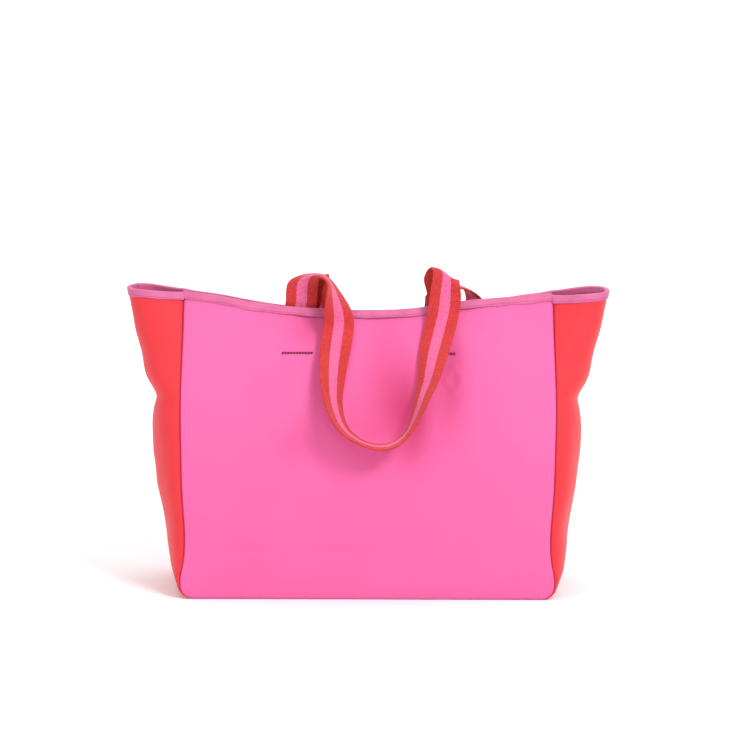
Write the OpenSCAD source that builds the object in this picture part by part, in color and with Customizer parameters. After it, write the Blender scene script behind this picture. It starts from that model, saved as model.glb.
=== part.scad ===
// Beach bag: a standing neoprene tote with flared side gussets, a bound rim and two striped
// webbing handles. The origin is under the middle of the base, +Z up, the front faces -Y.

/* [Body] */
// Width of the front and back panels between their side seams
panel_w = 440; // [380:5:500]
// Height of the rim at the side seams and along the wings
body_h = 366; // [320:2:420]
// Depth of the base from front to back
base_depth = 160; // [120:5:200]
// Depth of the bag at its belly, the deepest level
belly_depth = 168; // [130:2:220]
// Thickness of the neoprene
skin_t = 3; // [2:0.5:4]
// Radius of the lower corners of the panels
corner_r = 14; // [8:1:24]

/* [Mouth] */
// Distance between the middles of the front and back rims
mouth_gap = 21; // [20:1:60]
// How far the middle of each rim hangs below its ends
rim_dip = 24; // [0:2:40]
// Bow that opens each half of a wing at the rim
wing_bow = 18; // [8:1:26]
// Height of the binding tape that folds over the rim
binding_h = 11.4; // [8:0.2:16]
// Thickness of the binding tape
binding_t = 1; // [0.6:0.1:1.4]

/* [Handles] */
// Width of the webbing
strap_w = 38; // [25:1:40]
// Thickness of the webbing
strap_t = 2.2; // [1.6:0.2:3]
// Distance between the two sewn ends of one handle
anchor_span = 169.4; // [150:0.2:180]
// Height of the stitching that holds the sewn ends
anchor_z = 291; // [270:1:300]
// Height of the middle of the bend in which a handle turns over
bend_z = 373; // [368:1:380]
// Radius of that bend
bend_r = 9.5; // [8:0.5:11]

/* [Hidden] */

pink = "#ff78b9";
red = "#fb535f";
tape_pink = "#f088b9";
webbing_red = "#da4448";
thread_magenta = "#b0265c";
board_grey = "#4a4a50";

// Fraction of the height at which the panels start to lean towards the mouth
belly_v = 0.35;
// Share of its depth that a panel loses at its side seams, from this fraction of the height up
pillow = 0.05;
pillow_v = 0.15;
// Fraction of the height above which the wings bow open
wing_v = 0.75;
// Reach of a gusset past the side seam, against the fraction of the height
gusset_reach = [[0, 0], [0.04, 5], [0.08, 15], [0.15, 24], [0.35, 33], [0.45, 35], [0.55, 34],
    [0.64, 30], [0.72, 41], [0.8, 49], [0.87, 57], [1, 66]];
// Heights of the mesh rows, as fractions of the whole height
row_v = [0, 0.012, 0.04, 0.08, 0.15, 0.25, 0.35, 0.45, 0.55, 0.64, 0.72, 0.8, 0.87, 0.935, 1];
panel_cols = 14;
gusset_cols = 20;

// Gap between sewn pieces, gap under the inner tapes, and thickness of those tapes
sewn_gap = 0.25;
tape_gap = 0.6;
tape_t = 0.8;
// Position round the bag where each piece of skin starts, with the sewn gap as a share of a side
front_a = 0;
right_a = 1;
back_a = 2;
left_a = 3;
panel_gap_a = sewn_gap / panel_w;
gusset_gap_a = sewn_gap / base_depth;
// Half widths of a seam tape on the panel and on the gusset, as shares of their widths
tape_panel_a = 9 / panel_w;
tape_gusset_a = 9 / base_depth;

// Base: thicknesses of the stiffening board and its lining, and the margins round them
board_t = 2;
lining_t = 1.2;
layer_gap = 0.2;
board_margin = 6;
lining_margin = 3;

// Handles: the plane of each rising leg, and the plane of the hinge line that the shoulders share.
// One shoulder of a handle turns over, towards the outside of the bag. The other crosses: its leg
// turns edge on and arches sideways over the hinge line. A leg lies clear of the skin by leg_clear
// at its sewn end and by rim_clear under the binding.
leg_clear = 1.3;
rim_clear = 2.1;
leg_y = -(mouth_gap / 2 - skin_t / 2 - rim_clear - strap_t / 2);
bend_y = leg_y - bend_r;
fall_y = bend_y - bend_r;
hinge_lift = 1;
tongue_len = 8;
tongue_gap = 0.4;
leg_end_drop = 10;
drape_gap = 2.5;
arc_steps = 10;
spline_steps = 3;
// Shoulders that turn over: place along the width and height of the middle of the bend
front_over = [91, bend_z + 6];
back_over = [-66, bend_z - 6];
// Shoulders that cross: place of the rising leg, and of the crown where leg and loop meet
front_cross = [-80, -59];
back_cross = [87, 108];
crown_gap = 1;

// The hanging part of each handle from left to right: [x, y, z, turn of the webbing about Z].
// The first or last point is the crown, and the other end is the start of the turned shoulder.
front_drape = [[front_cross[1] + crown_gap, bend_y, front_over[1] + hinge_lift, -90],
    [-51.5, -15.8, 377.5, -92], [-46, -17.5, 371, -97], [-42.8, -20.5, 361, -110],
    [-39.5, -25.5, 349.5, -128], [-36.5, -29.5, 336, -150], hang(-35.7, 321, -164),
    hang(-38, 303, -168), hang(-41, 282, -156), hang(-42.5, 258, -139), hang(-41, 234, -121),
    hang(-31, 209, -106), hang(-13, 194, -95), hang(8, 187, -90), hang(27, 189, -88),
    hang(41, 198, -86), hang(50, 211, -83), hang(57.5, 229, -74), hang(63.5, 246, -64),
    hang(69.5, 262, -52), hang(76, 288, -29), hang(82, 309, -12),
    [88, -26, 332, 0], [90.5, fall_y, 351, 0],
    [front_over[0], fall_y, front_over[1] - tongue_len, 0], [front_over[0], fall_y, front_over[1], 0]];
back_drape = [[back_over[0], fall_y, back_over[1], 0],
    [back_over[0], fall_y, back_over[1] - tongue_len, 0], [-64, -25.5, 346, 0], [-61, -28, 330, 3],
    hang(-58, 314, 8), hang(-55, 297, 16), hang(-51, 278, 28), hang(-46, 258, 42),
    hang(-39, 236, 58), hang(-25, 211, 74), hang(-2, 188, 86), hang(26, 179, 90), hang(54, 187, 94),
    hang(78, 208, 104), hang(97, 232, 118), hang(110, 256, 136), hang(120, 282, 160),
    hang(128, 306, 190), [133, -38.5, 328, 222], [133.5, -38.5, 340, 244], [130.5, -35.5, 351, 256],
    [124, -28, 360, 262], [116.5, -20, 365.8, 267],
    [back_cross[1] + crown_gap, bend_y, back_over[1] + hinge_lift, 270]];

function mix(a, b, k) = a + (b - a) * k;
function smooth(k) = let (c = max(0, min(1, k))) c * c * (3 - 2 * c);
function unit(p) = p / norm(p);
function turned(p) = [-p[0], -p[1], p[2]];

// Half the depth of the bag at the fraction v of its height
function half_depth(v) = v < belly_v
    ? mix(base_depth, belly_depth, sin(90 * v / belly_v)) / 2
    : (mouth_gap + (belly_depth - mouth_gap) * cos(90 * (v - belly_v) / (1 - belly_v))) / 2;

// Half the width of a panel, which closes in along the arc of its lower corners
function half_width(z) = panel_w / 2
    - (z < corner_r ? corner_r - sqrt(pow(corner_r, 2) - pow(corner_r - z, 2)) : 0);

// Height of the rim at the share u of the panel's half width
function rim_z(u) = body_h - rim_dip * (1 - u * u);

// Share of the depth that is left at the share u of the panel's half width
function pillowed(u, v) = 1 - pillow * min(1, v / pillow_v) * pow(u, 4);

function panel_point(u, v) =
    [u * half_width(v * body_h), -half_depth(v) * pillowed(u, v), v * rim_z(u)];

// s runs from 0 at the front seam of the right gusset to 1 at its back seam
function gusset_point(s, v) = let (
        k = 1 - abs(2 * s - 1),
        bow = wing_bow * max(0, (v - wing_v) / (1 - wing_v)),
        y = half_depth(v) * pillowed(1, v) * cos(90 * k) + bow * sin(180 * k))
    [half_width(v * body_h) + lookup(v, gusset_reach) * sin(90 * k), s < 0.5 ? -y : y, v * body_h];

// A point of the middle of the skin: a runs round the bag from 0 to 4, one for each side
function ring(a, v) = a < 0 ? ring(a + 4, v)
    : a >= 4 ? ring(a - 4, v)
    : a >= 2 ? turned(ring(a - 2, v))
    : a <= 1 ? panel_point(2 * a - 1, v)
    : gusset_point(a - 1, v);

function outward(a, v) = let (d = ring(a + 0.01, v) - ring(a - 0.01, v)) unit([d[1], -d[0], 0]);

// A Catmull-Rom curve through the points p, with the given steps between two of them
function spline(p, steps) = [for (i = [0:len(p) - 2]) for (j = [0:steps - 1]) let (
            t = j / steps,
            a = p[max(i - 1, 0)], b = p[i], c = p[i + 1], d = p[min(i + 2, len(p) - 1)])
        0.5 * (2 * b + (c - a) * t + (2 * a - 5 * b + 4 * c - d) * pow(t, 2)
            + (3 * b - a - 3 * c + d) * pow(t, 3)),
    p[len(p) - 1]];

// A sheet of skin over the positions a and the heights v, between two offsets from its middle
module skin(a, v, inner, outer) {
    cols = len(a);
    rows = len(v);
    count = cols * rows;
    rim = concat([for (j = [0:cols - 2]) j], [for (i = [0:rows - 2]) i * cols + cols - 1],
        [for (j = [cols - 1:-1:1]) (rows - 1) * cols + j], [for (i = [rows - 1:-1:1]) i * cols]);
    points = [for (o = [outer, inner]) for (vi = v) for (aj = a) ring(aj, vi) + o * outward(aj, vi)];
    faces = [for (i = [0:rows - 2]) for (j = [0:cols - 2]) let (p = i * cols + j, q = p + cols)
            each [[p, q, q + 1], [p, q + 1, p + 1],
                [count + p, count + q + 1, count + q], [count + p, count + p + 1, count + q + 1]]];
    walls = [for (k = [0:len(rim) - 1]) let (p = rim[k], q = rim[(k + 1) % len(rim)])
            each [[p, q, q + count], [p, q + count, p + count]]];
    polyhedron(points, concat(faces, walls));
}

// Faces that join rings of n points, open at both ends of the run unless it closes on itself
function tube_faces(rings, n, closed) = [for (i = [0:rings - (closed ? 1 : 2)]) for (k = [0:n - 1]) let (
            p = i * n + k, q = i * n + (k + 1) % n,
            r = ((i + 1) % rings) * n + k, s = ((i + 1) % rings) * n + (k + 1) % n)
        each [[p, q, s], [p, s, r]]];

// A band that runs round the whole bag. Its section is a list of [offset, height fraction, lift].
module band(section) {
    a = concat(side_cols(front_a, panel_cols), side_cols(right_a, gusset_cols),
        side_cols(back_a, panel_cols), side_cols(left_a, gusset_cols));
    points = [for (ai = a) for (s = section) ring(ai, s[1]) + s[0] * outward(ai, s[1]) + [0, 0, s[2]]];
    polyhedron(points, tube_faces(len(a), len(section), true));
}

function side_cols(start, cols) = [for (i = [0:cols - 1]) start + i / cols];

// Positions of the columns of one piece of skin that starts at the given corner
function piece_cols(start, cols, gap) =
    concat([start + gap], [for (i = [1:cols - 1]) start + i / cols], [start + 1 - gap]);

// Webbing swept along stations, each [centre, direction of its width, one edge, other edge]
module webbing(stations) {
    last = len(stations) - 1;
    points = [for (i = [0:last]) let (
                c = stations[i][0], w = stations[i][1],
                along = stations[min(i + 1, last)][0] - stations[max(i - 1, 0)][0],
                n = unit(cross(along, w)) * strap_t / 2)
            each [c + w * stations[i][2] + n, c + w * stations[i][3] + n,
                c + w * stations[i][3] - n, c + w * stations[i][2] - n]];
    caps = [[3, 2, 1], [3, 1, 0], [4 * last, 4 * last + 1, 4 * last + 2],
        [4 * last, 4 * last + 2, 4 * last + 3]];
    polyhedron(points, concat(tube_faces(last + 1, 4, false), caps));
}

function height_share(x, z) = min(1, z / rim_z(2 * x / panel_w));

// Depth of the outside of the front panel, and of a leg that lies against its inside
function front_y(x, z) = -(half_depth(height_share(x, z)) + skin_t / 2);
function inside_y(x, z) = -(half_depth(height_share(x, z)) - skin_t / 2 - strap_t / 2
    - mix(leg_clear, rim_clear, smooth((z - anchor_z - 24) / 20)));

// A point where the webbing hangs against the front panel with that turn
function hang(x, z, turn) =
    [x, front_y(x, z) - drape_gap - (strap_t + strap_w * abs(sin(turn))) / 2, z, turn];

function bend_point(shoulder, angle) =
    [shoulder[0], bend_y + bend_r * cos(angle), shoulder[1] + bend_r * sin(angle)];

// A station of the webbing on a point [x, y, z, turn], between two edges
function station(p, low, high) = [[p[0], p[1], p[2]], [cos(p[3]), sin(p[3]), 0], low, high];

// Stations up the inside of the front panel from the sewn end to the rim
function inner_stations(side, top) = let (anchor_x = side * anchor_span / 2) [for (p = spline([
            [anchor_x, anchor_z - leg_end_drop], [anchor_x, anchor_z + 8], [anchor_x, anchor_z + 22],
            [mix(anchor_x, top[0], 0.3), anchor_z + 40], top], spline_steps))
        [[p[0], inside_y(p[0], p[1]), p[1]], [1, 0, 0], -strap_w / 2, strap_w / 2]];

// A leg that ends in half of a bend that turns over. side is -1 on the left, where the leg keeps
// the left half of the bend, and 1 on the right.
module leg_over(side, shoulder) {
    low = side < 0 ? -strap_w / 2 : tongue_gap;
    high = side < 0 ? -tongue_gap : strap_w / 2;
    rise_z = shoulder[1] - tongue_len;
    webbing(concat(
        inner_stations(side, [mix(side * anchor_span / 2, shoulder[0], 0.7), body_h - 16]),
        [station([mix(side * anchor_span / 2, shoulder[0], 0.96), leg_y, body_h - 5, 0],
            -strap_w / 2, strap_w / 2)],
        [station([shoulder[0], leg_y, rise_z, 0], -strap_w / 2, strap_w / 2)],
        [station([shoulder[0], leg_y, rise_z + 1, 0], low, high)],
        [for (k = [0:arc_steps - 2])
            [bend_point(shoulder, 180 * k / arc_steps), [1, 0, 0], low, high]]));
}

// A leg that turns edge on and arches sideways to its crown on the hinge line
module leg_cross(side, cross, hinge_z) {
    webbing(concat(inner_stations(side, [cross[0], body_h - 20]),
        [for (p = spline([[cross[0], leg_y, body_h - 12, -1], [cross[0] + 0.5, -6.2, hinge_z - 17, -5],
                [cross[0] + 2, -7.5, hinge_z - 9.5, -20],
                [mix(cross[0], cross[1], 0.3), -10.5, hinge_z - 4, -47],
                [mix(cross[0], cross[1], 0.6), -13.8, hinge_z - 0.8, -72],
                [cross[1], bend_y, hinge_z, -90]], spline_steps))
            station(p, -strap_w / 2, strap_w / 2)]));
}

// The swinging rest of a handle. over_end is -1 or 1 where its left or right end keeps the inner
// half of the bend that turns over.
module loop(drape, over_end, shoulder) {
    low = over_end < 0 ? tongue_gap : -strap_w / 2;
    high = over_end < 0 ? strap_w / 2 : -tongue_gap;
    bend = [for (k = [0:arc_steps - 1])
        [bend_point(shoulder, 180 * k / arc_steps), [1, 0, 0], low, high]];
    hung = [for (p = spline(drape, spline_steps)) let (
            near_bend = abs(p[0] - shoulder[0]) < 1 && p[2] > shoulder[1] - tongue_len + 1)
        near_bend ? station(p, low, high) : station(p, -strap_w / 2, strap_w / 2)];
    webbing(over_end < 0 ? concat(bend, hung)
        : concat(hung, [for (k = [len(bend) - 1:-1:0]) bend[k]]));
}

// A row of thread across each sewn end, on the outside of the panel
module stitching() {
    bar = [strap_w - 3, 0.7, 2];
    clear = 0.9;
    lean = atan2(front_y(0, anchor_z - 5) - front_y(0, anchor_z + 5), 10);
    for (side = [-1, 1])
        translate([side * anchor_span / 2, front_y(anchor_span / 2, anchor_z) - clear, anchor_z])
            rotate([lean, 0, 0]) cube(bar, center = true);
}

module base_sheet(margin, thickness) {
    radius = 5;
    linear_extrude(thickness) hull() for (x = [-1, 1], y = [-1, 1])
        translate([x * (half_width(0) - skin_t / 2 - margin - radius),
            y * (base_depth / 2 - skin_t / 2 - margin - radius)])
            circle(radius, $fn = 32);
}

module front_panel() {
    color(pink) skin(piece_cols(front_a, panel_cols, panel_gap_a), row_v, -skin_t / 2, skin_t / 2);
}

module back_panel() {
    color(pink) skin(piece_cols(back_a, panel_cols, panel_gap_a), row_v, -skin_t / 2, skin_t / 2);
}

module left_gusset() {
    color(red) skin(piece_cols(left_a, gusset_cols, gusset_gap_a), row_v, -skin_t / 2, skin_t / 2);
}

module right_gusset() {
    color(red) skin(piece_cols(right_a, gusset_cols, gusset_gap_a), row_v, -skin_t / 2, skin_t / 2);
}

module base_panel() {
    color(red) base_sheet(sewn_gap, skin_t);
}

module base_board() {
    color(board_grey) translate([0, 0, skin_t + layer_gap]) base_sheet(board_margin, board_t);
}

module base_lining() {
    color(pink) translate([0, 0, skin_t + board_t + 2 * layer_gap]) base_sheet(lining_margin, lining_t);
}

module base_seam_tape() {
    near = -skin_t / 2 - tape_gap;
    far = near - tape_t;
    low = 0.045;
    high = 0.075;
    color(tape_pink) band([[near, low, 0], [near, high, 0], [far, high, 0], [far, low, 0]]);
}

module rim_binding() {
    far = skin_t / 2 + sewn_gap + binding_t;
    near = skin_t / 2 + sewn_gap;
    low = 1 - (binding_h - binding_t - sewn_gap) / body_h;
    lift = sewn_gap + binding_t;
    color(tape_pink) band([[far, low, 0], [far, 1, lift], [-far, 1, lift], [-far, low, 0],
        [-near, low, 0], [-near, 1, sewn_gap], [near, 1, sewn_gap], [near, low, 0]]);
}

// A tape inside one side seam. side is 1 where the panel comes before the seam and -1 after it.
module seam_tape(seam, side) {
    before = side > 0 ? tape_panel_a : tape_gusset_a;
    after = side > 0 ? tape_gusset_a : tape_panel_a;
    near = -skin_t / 2 - tape_gap;
    color(tape_pink) skin([seam - before, seam, seam + after], [for (v = row_v) if (v > 0.079 && v < 0.94) v],
        near - tape_t, near);
}

module front_left_seam_tape() {
    seam_tape(front_a, -1);
}

module front_right_seam_tape() {
    seam_tape(right_a, 1);
}

module back_right_seam_tape() {
    seam_tape(back_a, -1);
}

module back_left_seam_tape() {
    seam_tape(left_a, 1);
}

module front_handle_left_leg() {
    color(webbing_red) leg_cross(-1, front_cross, front_over[1] + hinge_lift);
}

module front_handle_right_leg() {
    color(webbing_red) leg_over(1, front_over);
}

module back_handle_left_leg() {
    color(webbing_red) mirror([0, 1, 0]) leg_over(-1, back_over);
}

module back_handle_right_leg() {
    color(webbing_red) mirror([0, 1, 0]) leg_cross(1, back_cross, back_over[1] + hinge_lift);
}

module front_handle_stitching() {
    color(thread_magenta) stitching();
}

module back_handle_stitching() {
    color(thread_magenta) mirror([0, 1, 0]) stitching();
}

module front_handle_loop() {
    color(webbing_red) loop(front_drape, 1, front_over);
}

module back_handle_loop() {
    color(webbing_red) mirror([0, 1, 0]) loop(back_drape, -1, back_over);
}

front_panel();
back_panel();
left_gusset();
right_gusset();
base_panel();
base_board();
base_lining();
base_seam_tape();
rim_binding();
front_left_seam_tape();
front_right_seam_tape();
back_left_seam_tape();
back_right_seam_tape();
front_handle_left_leg();
front_handle_right_leg();
back_handle_left_leg();
back_handle_right_leg();
front_handle_stitching();
back_handle_stitching();
front_handle_loop();
back_handle_loop();
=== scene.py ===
"""Looks of the beach bag: lofted neoprene skins that sag a little, a bound rim, striped webbing
handles that bend at their shoulders, tapes, thread and the lined base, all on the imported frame."""
import math

import bpy
import numpy as np
from mathutils import Matrix, Vector


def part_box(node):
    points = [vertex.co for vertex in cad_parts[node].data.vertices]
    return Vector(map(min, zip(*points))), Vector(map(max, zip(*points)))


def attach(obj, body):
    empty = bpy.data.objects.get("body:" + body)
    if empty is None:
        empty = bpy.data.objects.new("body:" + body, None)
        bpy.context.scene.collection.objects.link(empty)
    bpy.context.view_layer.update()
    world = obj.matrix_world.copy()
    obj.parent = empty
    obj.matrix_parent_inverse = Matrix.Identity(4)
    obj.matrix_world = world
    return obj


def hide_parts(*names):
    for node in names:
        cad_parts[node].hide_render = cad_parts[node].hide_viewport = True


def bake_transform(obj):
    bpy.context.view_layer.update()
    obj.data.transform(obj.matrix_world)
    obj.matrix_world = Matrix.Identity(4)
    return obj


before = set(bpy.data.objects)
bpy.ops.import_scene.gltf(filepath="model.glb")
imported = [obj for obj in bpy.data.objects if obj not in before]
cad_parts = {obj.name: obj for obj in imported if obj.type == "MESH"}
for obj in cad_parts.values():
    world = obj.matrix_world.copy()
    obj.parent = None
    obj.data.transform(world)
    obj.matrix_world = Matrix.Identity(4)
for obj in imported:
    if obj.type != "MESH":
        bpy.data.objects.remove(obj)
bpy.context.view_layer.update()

# ---------------------------------------------------------------- sizes of the part, in metres
PANEL_W, BODY_H = 0.440, 0.366
BASE_D, BELLY_D, MOUTH = 0.160, 0.168, 0.021
SKIN_T, CORNER_R = 0.003, 0.014
RIM_DIP, WING_BOW = 0.027, 0.018
RIM_H = BODY_H - 0.0035
BINDING_H, BINDING_T = 0.0090, 0.001
GUSSET_W = 0.172
STRAP_W, STRAP_T = 0.038, 0.0020
ANCHOR_X, ANCHOR_Z = 0.0847, 0.291
BELLY_V, PILLOW, PILLOW_V, WING_V = 0.35, 0.05, 0.15, 0.75
LEG_Y, BEND_Y, BEND_R = -0.0058, -0.0153, 0.0095
LEG_CLEAR, RIM_CLEAR, DRAPE_GAP = 0.0013, 0.0021, 0.0025
REACH = ((0, 0), (0.04, 5), (0.08, 15), (0.15, 24), (0.35, 33), (0.45, 35), (0.55, 34),
         (0.64, 30), (0.72, 41), (0.8, 49), (0.87, 57), (1, 66))


def smooth(k):
    k = np.clip(k, 0, 1)
    return k * k * (3 - 2 * k)


def bump(x, centre, width):
    return np.exp(-((x - centre) / width) ** 2)


def softened(knots, width, scale):
    """A dense version of a run of straight lines, rounded off by a Gaussian of that width."""
    v = np.linspace(-0.2, 1.2, 1401)
    y = np.interp(v, [k[0] for k in knots], [k[1] for k in knots])
    y = np.where(v > 1, knots[-1][1] + (v - 1) * 70, y)
    g = np.exp(-0.5 * (np.arange(-120, 121) * 0.001 / width) ** 2)
    return v, np.convolve(np.pad(y, 120, mode="edge"), g / g.sum(), "valid") * scale


REACH_V, REACH_X = softened(REACH, 0.012, 0.001)


def reach(v):
    return np.interp(v, REACH_V, REACH_X)


def half_depth(v):
    low = (BASE_D + (BELLY_D - BASE_D) * np.sin(np.pi / 2 * np.clip(v / BELLY_V, 0, 1))) / 2
    k = np.clip((v - BELLY_V) / (1 - BELLY_V), 0, 1)
    return np.where(v < BELLY_V, low, (MOUTH + (BELLY_D - MOUTH) * np.cos(np.pi / 2 * k)) / 2)


def half_width(z):
    d = np.clip(CORNER_R - z, 0, CORNER_R)
    ease = 0.0018 * bump(z, 0.236, 0.06) - 0.0034 * bump(z, 0.074, 0.042) + 0.0032 * bump(z, 0.022, 0.018)
    return PANEL_W / 2 - (CORNER_R - np.sqrt(CORNER_R ** 2 - d ** 2)) + ease


def rim_z(u):
    return RIM_H - RIM_DIP * (1 - u * u)


def pillowed(u, v):
    return 1 - PILLOW * np.clip(v / PILLOW_V, 0, 1) * u ** 4


def ring(a, v):
    """Middle of the skin. a runs round the bag: front panel 0-1, right gusset 1-2, back, left."""
    a, v = np.broadcast_arrays(np.asarray(a, float) % 4, np.asarray(v, float))
    side = np.floor(a).astype(int)
    t = a - side
    u = 2 * t - 1
    lift = np.where(side == 0, 0.0045 * bump(u, 0.52, 0.22) - 0.002 * bump(u, -0.6, 0.25),
                    -0.0035 * (1 - u * u)) * smooth((v - 0.6) / 0.4)
    top = smooth((v - 0.6) / 0.4)
    from_seam = np.where(side % 2 == 0, (1 - np.abs(u)) * PANEL_W / 2, (0.5 - np.abs(t - 0.5)) * GUSSET_W)
    tug = -0.0044 * bump(from_seam, 0, 0.030) * top
    near_tip = np.where(side == 1, 1.8 * smooth((0.62 - t) / 0.3), smooth((t - 0.38) / 0.3))
    panel = np.stack([u * half_width(v * BODY_H), -half_depth(v) * pillowed(u, v),
                      v * rim_z(u) + lift + tug], -1)
    k = 1 - np.abs(2 * t - 1)
    bow = WING_BOW * np.clip((v - WING_V) / (1 - WING_V), 0, None)
    y = half_depth(v) * pillowed(1, v) * np.cos(np.pi / 2 * k) + bow * np.sin(np.pi * k)
    gusset = np.stack([half_width(v * BODY_H) + reach(v) * np.sin(np.pi / 2 * k),
                       np.where(t < 0.5, -y, y), v * RIM_H + tug - 0.0020 * near_tip * top], -1)
    p = np.where((side % 2 == 0)[..., None], panel, gusset)
    flip = np.where((side >= 2)[..., None], np.array([-1, -1, 1.0]), np.array([1, 1, 1.0]))
    return p * flip


def outward(a, v):
    """Horizontal direction away from the inside of the bag."""
    d = ring(a + 0.006, v) - ring(a - 0.006, v)
    n = np.stack([d[..., 1], -d[..., 0], np.zeros(d.shape[:-1])], -1)
    return n / np.linalg.norm(n, axis=-1, keepdims=True)


def waves(p, seed, scale, count=7):
    """A soft random field over points p, from a few plane waves, about -1 to 1."""
    r = np.random.default_rng(seed)
    f = np.zeros(p.shape[:-1])
    for _ in range(count):
        d = r.normal(size=3)
        d /= np.linalg.norm(d)
        f += np.sin(p @ d * 2 * np.pi / (scale * r.uniform(0.7, 1.5)) + r.uniform(0, 6.28))
    return f / math.sqrt(count)


# ---------------------------------------------------------------- mesh helpers
def make_mesh(name, verts, faces, uv=None, index=None, slots=(), normals=None, painted_shade=None):
    """verts (n, 3), faces (m, 4), uv per vertex, index per face into the materials in slots."""
    me = bpy.data.meshes.new(name)
    me.from_pydata([tuple(map(float, p)) for p in verts], [], [tuple(map(int, f)) for f in faces])
    for m in slots:
        me.materials.append(m)
    if index is not None:
        me.polygons.foreach_set("material_index", np.asarray(index, np.int32))
    me.polygons.foreach_set("use_smooth", np.ones(len(me.polygons), bool))
    if uv is not None:
        layer = me.uv_layers.new(name="flat")
        loops = np.zeros(len(me.loops), np.int32)
        me.loops.foreach_get("vertex_index", loops)
        layer.data.foreach_set("uv", np.asarray(uv, np.float32)[loops].ravel())
    # A per-vertex painted shade amount, read by the neoprene material.
    if painted_shade is not None:
        me.attributes.new("painted_shade", "FLOAT", "POINT").data.foreach_set("value", painted_shade.astype(np.float32))
    me.update()
    if normals is not None:
        me.normals_split_custom_set_from_vertices([tuple(map(float, n)) for n in normals])
    o = bpy.data.objects.new(name, me)
    bpy.context.scene.collection.objects.link(o)
    return o


def grid_faces(rows, cols, start=0, closed=False):
    """Quads over a grid whose vertices run row by row. closed joins the last column to the first."""
    i, j = np.meshgrid(np.arange(rows - 1), np.arange(cols if closed else cols - 1), indexing="ij")
    k = (j + 1) % cols
    f = np.stack([i * cols + j, i * cols + k, (i + 1) * cols + k, (i + 1) * cols + j], -1)
    return f.reshape(-1, 4) + start


def grid_normals(p, closed=False):
    """Unit normals of a grid of points (rows, cols, 3), dP/dcols x dP/drows."""
    du = np.roll(p, -1, 1) - np.roll(p, 1, 1) if closed else np.gradient(p, axis=1)
    n = np.cross(du, np.gradient(p, axis=0))
    return n / np.maximum(np.linalg.norm(n, axis=-1, keepdims=True), 1e-12)


def edge_steps(length, step):
    """Positions from 0 to length that crowd at both ends, so that an edge can be rounded."""
    near = np.array([0, 0.0002, 0.0005, 0.0009, 0.0014, 0.002, 0.003, 0.0045, 0.0065])
    n = max(2, int(round((length - 2 * near[-1]) / step)))
    mid = np.linspace(near[-1], length - near[-1], n + 1)[1:-1]
    return np.concatenate([near, mid, length - near[::-1]])


def slab(name, mid, normal, half, extra, uv, material, painted_shade=None):
    """A closed sheet round a grid of middle points: half its thickness each way, extra outward."""
    rows, cols = mid.shape[:2]
    outer = mid + normal * (half + extra)[..., None]
    inner = mid + normal * (extra - half)[..., None]
    verts = np.concatenate([outer.reshape(-1, 3), inner.reshape(-1, 3)])
    count = rows * cols
    faces = [grid_faces(rows, cols), grid_faces(rows, cols, count)[:, ::-1]]
    border = np.concatenate([np.arange(cols), np.arange(1, rows) * cols + cols - 1,
                             (rows - 1) * cols + np.arange(cols - 2, -1, -1),
                             np.arange(rows - 2, 0, -1) * cols])
    nxt = np.roll(border, -1)
    faces.append(np.stack([nxt, border, border + count, nxt + count], -1))
    return make_mesh(name, verts, np.concatenate(faces), np.tile(uv.reshape(-1, 2), (2, 1)),
                     slots=[material], painted_shade=None if painted_shade is None else np.tile(painted_shade.ravel(), 2))


def rounded(distance, radius, half):
    k = 1 - np.clip(distance / radius, 0, 1)
    return half * np.sqrt(np.clip(1 - k * k, 0.0025, 1))


# ---------------------------------------------------------------- materials
class Nodes:
    """Short ways to add shader nodes to one material."""

    def __init__(self, name):
        self.mat = bpy.data.materials.new(name)
        self.mat.use_nodes = True
        self.tree = self.mat.node_tree
        self.bsdf = self.tree.nodes["Principled BSDF"]

    def set(self, node, socket, value):
        if isinstance(value, bpy.types.NodeSocket):
            self.tree.links.new(value, node.inputs[socket])
        else:
            node.inputs[socket].default_value = value

    def math(self, op, a, b=0.0):
        n = self.tree.nodes.new("ShaderNodeMath")
        n.operation = op
        self.set(n, 0, a)
        self.set(n, 1, b)
        return n.outputs[0]

    def uv(self):
        n = self.tree.nodes.new("ShaderNodeUVMap")
        n.uv_map = "flat"
        s = self.tree.nodes.new("ShaderNodeSeparateXYZ")
        self.tree.links.new(n.outputs[0], s.inputs[0])
        return s.outputs[0], s.outputs[1]

    def noise(self, scale, detail=3.0, rough=0.5):
        c = self.tree.nodes.new("ShaderNodeTexCoord")
        n = self.tree.nodes.new("ShaderNodeTexNoise")
        self.tree.links.new(c.outputs["Object"], n.inputs["Vector"])
        n.inputs["Scale"].default_value = scale
        n.inputs["Detail"].default_value = detail
        n.inputs["Roughness"].default_value = rough
        return n.outputs["Fac"]

    def mix(self, fac, a, b):
        n = self.tree.nodes.new("ShaderNodeMix")
        n.data_type = "RGBA"
        self.set(n, 0, fac)
        for socket, value in ((6, a), (7, b)):
            self.set(n, socket, value)
        return n.outputs[2]

    def span(self, value, low, high):
        n = self.tree.nodes.new("ShaderNodeMapRange")
        self.set(n, 0, value)
        n.inputs[1].default_value = low
        n.inputs[2].default_value = high
        return n.outputs[0]

    def bump(self, height, distance, strength=1.0, normal=None):
        n = self.tree.nodes.new("ShaderNodeBump")
        n.inputs["Distance"].default_value = distance
        n.inputs["Strength"].default_value = strength
        self.set(n, "Height", height)
        if normal is not None:
            self.set(n, "Normal", normal)
        return n.outputs[0]

    def finish(self, color, roughness, normal, sheen=0.0, tint=(1, 1, 1, 1), spec=0.3):
        self.set(self.bsdf, "Base Color", color)
        self.set(self.bsdf, "Roughness", roughness)
        self.set(self.bsdf, "Normal", normal)
        self.bsdf.inputs["Sheen Weight"].default_value = sheen
        self.bsdf.inputs["Sheen Roughness"].default_value = 0.45
        self.bsdf.inputs["Sheen Tint"].default_value = tint
        self.bsdf.inputs["Specular IOR Level"].default_value = spec
        return self.mat


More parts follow.
